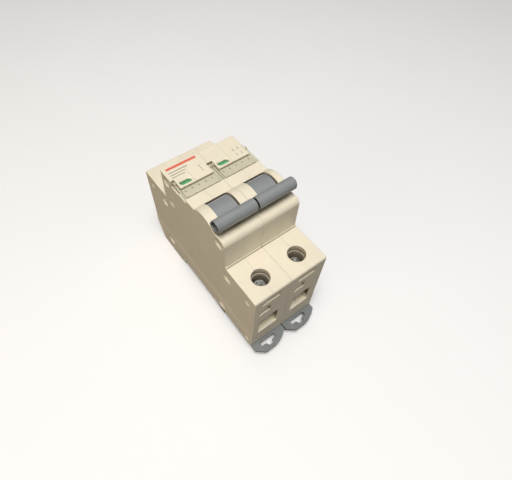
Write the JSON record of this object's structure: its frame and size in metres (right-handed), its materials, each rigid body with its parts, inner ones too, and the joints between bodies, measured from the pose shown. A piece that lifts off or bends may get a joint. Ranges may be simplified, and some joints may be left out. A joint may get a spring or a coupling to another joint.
{
  "type": "miniature circuit breaker",
  "caption": "Two-pole rail-mounted miniature circuit breaker with tied rocker handles, off indicators, cage terminals, flip-up label covers and sliding rail clips.",
  "frame": {"origin": "middle of the width on the rail centreline, in the plane of the rail seat", "axes": "+Z outwards from the rail to the handle; +X across the poles; +Y from the end with the sliding clips to the end with the fixed hook"},
  "size_m": [0.0367, 0.0895, 0.0729],
  "materials": {
    "casing_plastic": "cream thermoset moulding, fine matt texture",
    "handle_plastic": "mid grey moulding",
    "clip_plastic": "dark grey moulding",
    "zinc_steel": "bright zinc plated steel",
    "spring_steel": "drawn steel wire and pins",
    "copper": "bare copper",
    "silver_alloy": "silver alloy contact facing",
    "mild_steel": "plated mild steel",
    "bimetal_strip": "rolled bimetal strip",
    "fibre_board": "vulcanised fibre board",
    "dark_plastic": "black moulding",
    "indicator_green": "green face when off, red quarter hidden",
    "clear_window": "clear moulded window",
    "tinted_cover": "pale translucent moulding",
    "label_paper": "plain paper strip, nothing printed"
  },
  "bodies": {
    "casing": {"arc_chute_cheeks": "fibre_board", "arc_plates": "mild_steel", "arc_runners": "mild_steel", "casing_rivets": "zinc_steel", "clip_springs": "spring_steel", "coil_bobbins": "dark_plastic", "coil_cores": "mild_steel", "coil_yokes": "mild_steel", "fixed_contact_tips": "silver_alloy", "indicator_windows": "clear_window", "label_inserts": "label_paper", "left_base_shell": "casing_plastic", "left_bimetal": "bimetal_strip", "left_braid": "copper", "left_coil": "copper", "left_cover_shell": "casing_plastic", "left_fixed_contact": "copper", "left_load_conductor": "copper", "line_conductors": "copper", "mechanism_pins": "spring_steel", "plunger_springs": "spring_steel", "right_base_shell": "casing_plastic", "right_bimetal": "bimetal_strip", "right_braid": "copper", "right_coil": "copper", "right_cover_shell": "casing_plastic", "right_fixed_contact": "copper", "right_load_conductor": "copper", "toggle_pivot_pins": "spring_steel", "toggle_springs": "spring_steel"},
    "handle": {"left_toggle": "handle_plastic", "right_toggle": "handle_plastic", "handle_tie_pin": "spring_steel"},
    "trip_gang": {"left_trip_lever": "dark_plastic", "right_trip_lever": "dark_plastic", "common_trip_bar": "dark_plastic"},
    "left_link": {"left_drive_link": "spring_steel"},
    "left_contact": {"left_contact_carrier": "dark_plastic", "left_moving_contact": "copper", "left_moving_contact_tip": "silver_alloy"},
    "left_plunger_body": {"left_plunger": "mild_steel"},
    "left_indicator": {"left_indicator_roller": "indicator_green"},
    "left_cover_flap": {"left_label_cover": "tinted_cover"},
    "left_rail_clip": {"left_din_clip": "clip_plastic"},
    "left_near_screw_body": {"left_near_screw": "zinc_steel"},
    "left_near_cage": {"left_near_clamp": "zinc_steel"},
    "left_far_screw_body": {"left_far_screw": "zinc_steel"},
    "left_far_cage": {"left_far_clamp": "zinc_steel"},
    "right_link": {"right_drive_link": "spring_steel"},
    "right_contact": {"right_contact_carrier": "dark_plastic", "right_moving_contact": "copper", "right_moving_contact_tip": "silver_alloy"},
    "right_plunger_body": {"right_plunger": "mild_steel"},
    "right_indicator": {"right_indicator_roller": "indicator_green"},
    "right_cover_flap": {"right_label_cover": "tinted_cover"},
    "right_rail_clip": {"right_din_clip": "clip_plastic"},
    "right_near_screw_body": {"right_near_screw": "zinc_steel"},
    "right_near_cage": {"right_near_clamp": "zinc_steel"},
    "right_far_screw_body": {"right_far_screw": "zinc_steel"},
    "right_far_cage": {"right_far_clamp": "zinc_steel"}
  },
  "joints": [
    {"name": "handle_hinge", "type": "hinge", "parent": "casing", "child": "handle", "pos_m": [0, -0.0092, 0.0546], "axis": [-1, 0, 0], "range_deg": [0, 74], "deforming": ["toggle_springs"]},
    {"name": "trip_gang_hinge", "type": "hinge", "parent": "casing", "child": "trip_gang", "pos_m": [0, -0.006, 0.021], "axis": [1, 0, 0], "range_deg": [0, 8.05]},
    {"name": "left_link_hinge", "type": "hinge", "parent": "handle", "child": "left_link", "pos_m": [-0.009, -0.00619, 0.05351], "axis": [1, 0, 0], "range_deg": [0, 78.4]},
    {"name": "left_contact_hinge", "type": "hinge", "parent": "casing", "child": "left_contact", "pos_m": [-0.009, -0.004, 0.03], "axis": [1, 0, 0], "range_deg": [0, 20.05]},
    {"name": "left_plunger_slide", "type": "slide", "parent": "casing", "child": "left_plunger_body", "axis": [0, -1, 0], "range_m": [0, 0.00075], "deforming": ["plunger_springs"]},
    {"name": "left_indicator_turn", "type": "hinge", "parent": "casing", "child": "left_indicator", "pos_m": [-0.0127, 0.0112, 0.05775], "axis": [-1, 0, 0], "range_deg": [0, 90.1]},
    {"name": "left_label_cover_hinge", "type": "hinge", "parent": "casing", "child": "left_cover_flap", "pos_m": [-0.009, 0.0134, 0.0588], "axis": [-1, 0, 0], "range_deg": [0, 110]},
    {"name": "left_rail_clip_slide", "type": "slide", "parent": "casing", "child": "left_rail_clip", "axis": [0, -1, 0], "range_m": [0, 0.004], "deforming": ["clip_springs"]},
    {"name": "left_near_screw_turn", "type": "hinge", "parent": "casing", "child": "left_near_screw_body", "pos_m": [-0.009, -0.0335, 0.0357], "axis": [0, 0, -1], "range_deg": [0, 1801]},
    {"name": "left_near_clamp_slide", "type": "slide", "parent": "casing", "child": "left_near_cage", "axis": [0, 0, 1], "range_m": [0, 0.004]},
    {"name": "left_far_screw_turn", "type": "hinge", "parent": "casing", "child": "left_far_screw_body", "pos_m": [-0.009, 0.0335, 0.0357], "axis": [0, 0, -1], "range_deg": [0, 1801]},
    {"name": "left_far_clamp_slide", "type": "slide", "parent": "casing", "child": "left_far_cage", "axis": [0, 0, 1], "range_m": [0, 0.004]},
    {"name": "right_link_hinge", "type": "hinge", "parent": "handle", "child": "right_link", "pos_m": [0.009, -0.00619, 0.05351], "axis": [1, 0, 0], "range_deg": [0, 78.4]},
    {"name": "right_contact_hinge", "type": "hinge", "parent": "casing", "child": "right_contact", "pos_m": [0.009, -0.004, 0.03], "axis": [1, 0, 0], "range_deg": [0, 20.05]},
    {"name": "right_plunger_slide", "type": "slide", "parent": "casing", "child": "right_plunger_body", "axis": [0, -1, 0], "range_m": [0, 0.00076], "deforming": ["plunger_springs"]},
    {"name": "right_indicator_turn", "type": "hinge", "parent": "casing", "child": "right_indicator", "pos_m": [0.0053, 0.0112, 0.05775], "axis": [-1, 0, 0], "range_deg": [0, 90.1]},
    {"name": "right_label_cover_hinge", "type": "hinge", "parent": "casing", "child": "right_cover_flap", "pos_m": [0.009, 0.0134, 0.0588], "axis": [-1, 0, 0], "range_deg": [0, 110]},
    {"name": "right_rail_clip_slide", "type": "slide", "parent": "casing", "child": "right_rail_clip", "axis": [0, -1, 0], "range_m": [0, 0.004], "deforming": ["clip_springs"]},
    {"name": "right_near_screw_turn", "type": "hinge", "parent": "casing", "child": "right_near_screw_body", "pos_m": [0.009, -0.0335, 0.0357], "axis": [0, 0, -1], "range_deg": [0, 1801]},
    {"name": "right_near_clamp_slide", "type": "slide", "parent": "casing", "child": "right_near_cage", "axis": [0, 0, 1], "range_m": [0, 0.004]},
    {"name": "right_far_screw_turn", "type": "hinge", "parent": "casing", "child": "right_far_screw_body", "pos_m": [0.009, 0.0335, 0.0357], "axis": [0, 0, -1], "range_deg": [0, 1801]},
    {"name": "right_far_clamp_slide", "type": "slide", "parent": "casing", "child": "right_far_cage", "axis": [0, 0, 1], "range_m": [0, 0.004]}
  ],
  "couplings": [
    {"joint": "trip_gang_hinge", "follows": "left_plunger_slide", "rad_per_m": 186.17},
    {"joint": "left_link_hinge", "follows": "handle_hinge", "ratio": 1.0584},
    {"joint": "left_contact_hinge", "follows": "handle_hinge", "ratio": 0.27027},
    {"joint": "left_indicator_turn", "follows": "handle_hinge", "ratio": 1.2162},
    {"joint": "left_near_screw_turn", "follows": "left_near_clamp_slide", "rad_per_m": 7854},
    {"joint": "left_far_screw_turn", "follows": "left_far_clamp_slide", "rad_per_m": 7854},
    {"joint": "right_link_hinge", "follows": "handle_hinge", "ratio": 1.0584},
    {"joint": "right_contact_hinge", "follows": "handle_hinge", "ratio": 0.27027},
    {"joint": "right_plunger_slide", "follows": "left_plunger_slide", "ratio": 1},
    {"joint": "right_indicator_turn", "follows": "handle_hinge", "ratio": 1.2162},
    {"joint": "right_near_screw_turn", "follows": "right_near_clamp_slide", "rad_per_m": 7854},
    {"joint": "right_far_screw_turn", "follows": "right_far_clamp_slide", "rad_per_m": 7854}
  ]
}
